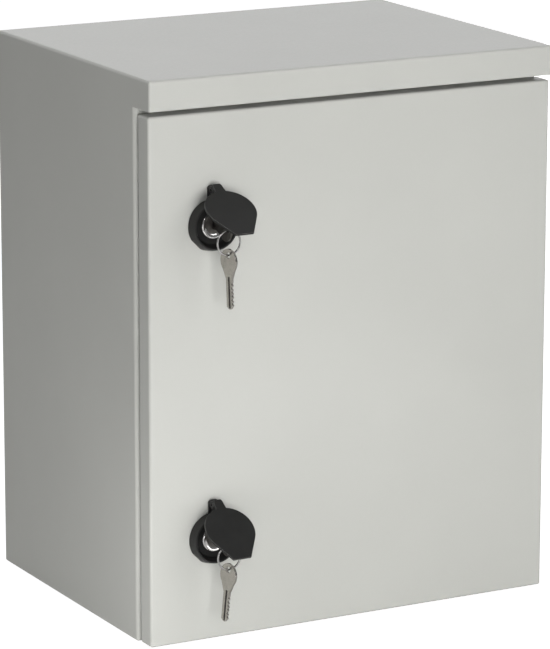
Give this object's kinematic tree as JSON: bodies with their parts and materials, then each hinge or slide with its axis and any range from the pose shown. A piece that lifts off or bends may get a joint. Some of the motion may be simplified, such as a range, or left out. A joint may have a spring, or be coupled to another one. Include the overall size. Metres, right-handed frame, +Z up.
{
  "type": "industrial switchboard cabinet",
  "caption": "Wall-mounted sheet-steel switchboard cabinet with a rain hood, a hinged door, two keyed cam locks under flip-up dust caps, a mounting plate and a cable entry.",
  "frame": {"origin": "middle of the base's width and of the nominal depth, on the plane that the cabinet stands on", "axes": "+X to the right seen from the front, +Y to the back panel, +Z up"},
  "size_m": [0.4, 0.3611, 0.5],
  "materials": {
    "painted_steel": "fine orange-peel powder coat, light grey",
    "zinc_plate": "galvanised, faint spangle",
    "zinc_hardware": "bright zinc plated",
    "foam_seal": "closed-cell foam, matt",
    "rubber": "matt moulded rubber",
    "brass": "bare brass",
    "black_plastic": "moulded, fine satin texture",
    "chrome": "polished chrome plate",
    "nickel": "nickel plated, lightly worn"
  },
  "bodies": {
    "cabinet": {"body_shell": "painted_steel", "rear_panel": "painted_steel", "mounting_plate": "zinc_plate", "plate_studs": "zinc_hardware", "plate_spacers": "zinc_hardware", "plate_washers": "zinc_hardware", "plate_nuts": "zinc_hardware", "gland_plate": "painted_steel", "gland_gasket": "foam_seal", "gland_screws": "zinc_hardware", "cable_grommets": "rubber", "body_earth_stud": "brass", "body_earth_washer": "zinc_hardware", "body_earth_nut": "brass", "hinge_bracket_upper": "zinc_hardware", "hinge_bracket_lower": "zinc_hardware", "hinge_screws": "zinc_hardware"},
    "door": {"door_panel": "painted_steel", "door_gasket": "foam_seal", "hinge_leaf_upper": "zinc_hardware", "hinge_leaf_lower": "zinc_hardware", "hinge_pin_upper": "zinc_hardware", "hinge_pin_lower": "zinc_hardware", "door_earth_stud": "brass", "door_earth_washer": "zinc_hardware", "door_earth_nut": "brass", "lock_seal_upper": "rubber", "lock_bezel_upper": "black_plastic", "lock_barrel_upper": "chrome", "lock_nut_upper": "zinc_hardware", "cap_pin_upper": "zinc_hardware", "lock_seal_lower": "rubber", "lock_bezel_lower": "black_plastic", "lock_barrel_lower": "chrome", "lock_nut_lower": "zinc_hardware", "cap_pin_lower": "zinc_hardware"},
    "lock_core_upper": {"lock_plug_upper": "nickel", "lock_cam_upper": "zinc_hardware", "cam_screw_upper": "zinc_hardware", "key_upper": "nickel"},
    "cap_upper": {"dust_cap_upper": "black_plastic"},
    "ring_upper": {"key_ring_upper": "chrome"},
    "spare_upper": {"spare_key_upper": "nickel"},
    "lock_core_lower": {"lock_plug_lower": "nickel", "lock_cam_lower": "zinc_hardware", "cam_screw_lower": "zinc_hardware", "key_lower": "nickel"},
    "cap_lower": {"dust_cap_lower": "black_plastic"},
    "ring_lower": {"key_ring_lower": "chrome"},
    "spare_lower": {"spare_key_lower": "nickel"}
  },
  "joints": [
    {"name": "door_hinge", "type": "hinge", "parent": "cabinet", "child": "door", "pos_m": [0.192, -0.1395, 0.25], "axis": [0, 0, 1], "range_deg": [0, 120]},
    {"name": "lock_turn_upper", "type": "hinge", "parent": "door", "child": "lock_core_upper", "pos_m": [-0.139, -0.15, 0.371], "axis": [0, 1, 0], "range_deg": [0, 90]},
    {"name": "dust_cap_lift_upper", "type": "hinge", "parent": "door", "child": "cap_upper", "pos_m": [-0.139, -0.1565, 0.4028], "axis": [-1, 0, 0], "range_deg": [-12, 47]},
    {"name": "key_ring_hang_upper", "type": "hinge", "parent": "lock_core_upper", "child": "ring_upper", "pos_m": [-0.139, -0.1815, 0.372], "axis": [0, 1, 0], "range_deg": [-45, 0]},
    {"name": "spare_key_hang_upper", "type": "hinge", "parent": "ring_upper", "child": "spare_upper", "pos_m": [-0.139, -0.1815, 0.3504], "axis": [0, 1, 0], "range_deg": [-45, 0]},
    {"name": "lock_turn_lower", "type": "hinge", "parent": "door", "child": "lock_core_lower", "pos_m": [-0.139, -0.15, 0.093], "axis": [0, 1, 0], "range_deg": [0, 90]},
    {"name": "dust_cap_lift_lower", "type": "hinge", "parent": "door", "child": "cap_lower", "pos_m": [-0.139, -0.1565, 0.1248], "axis": [-1, 0, 0], "range_deg": [-4, 55]},
    {"name": "key_ring_hang_lower", "type": "hinge", "parent": "lock_core_lower", "child": "ring_lower", "pos_m": [-0.139, -0.1815, 0.094], "axis": [0, 1, 0], "range_deg": [-45, 0]},
    {"name": "spare_key_hang_lower", "type": "hinge", "parent": "ring_lower", "child": "spare_lower", "pos_m": [-0.139, -0.1815, 0.0724], "axis": [0, 1, 0], "range_deg": [-45, 0]}
  ],
  "couplings": [
    {"joint": "key_ring_hang_upper", "follows": "lock_turn_upper", "ratio": -0.5},
    {"joint": "spare_key_hang_upper", "follows": "lock_turn_upper", "ratio": -0.5},
    {"joint": "key_ring_hang_lower", "follows": "lock_turn_lower", "ratio": -0.5},
    {"joint": "spare_key_hang_lower", "follows": "lock_turn_lower", "ratio": -0.5}
  ]
}
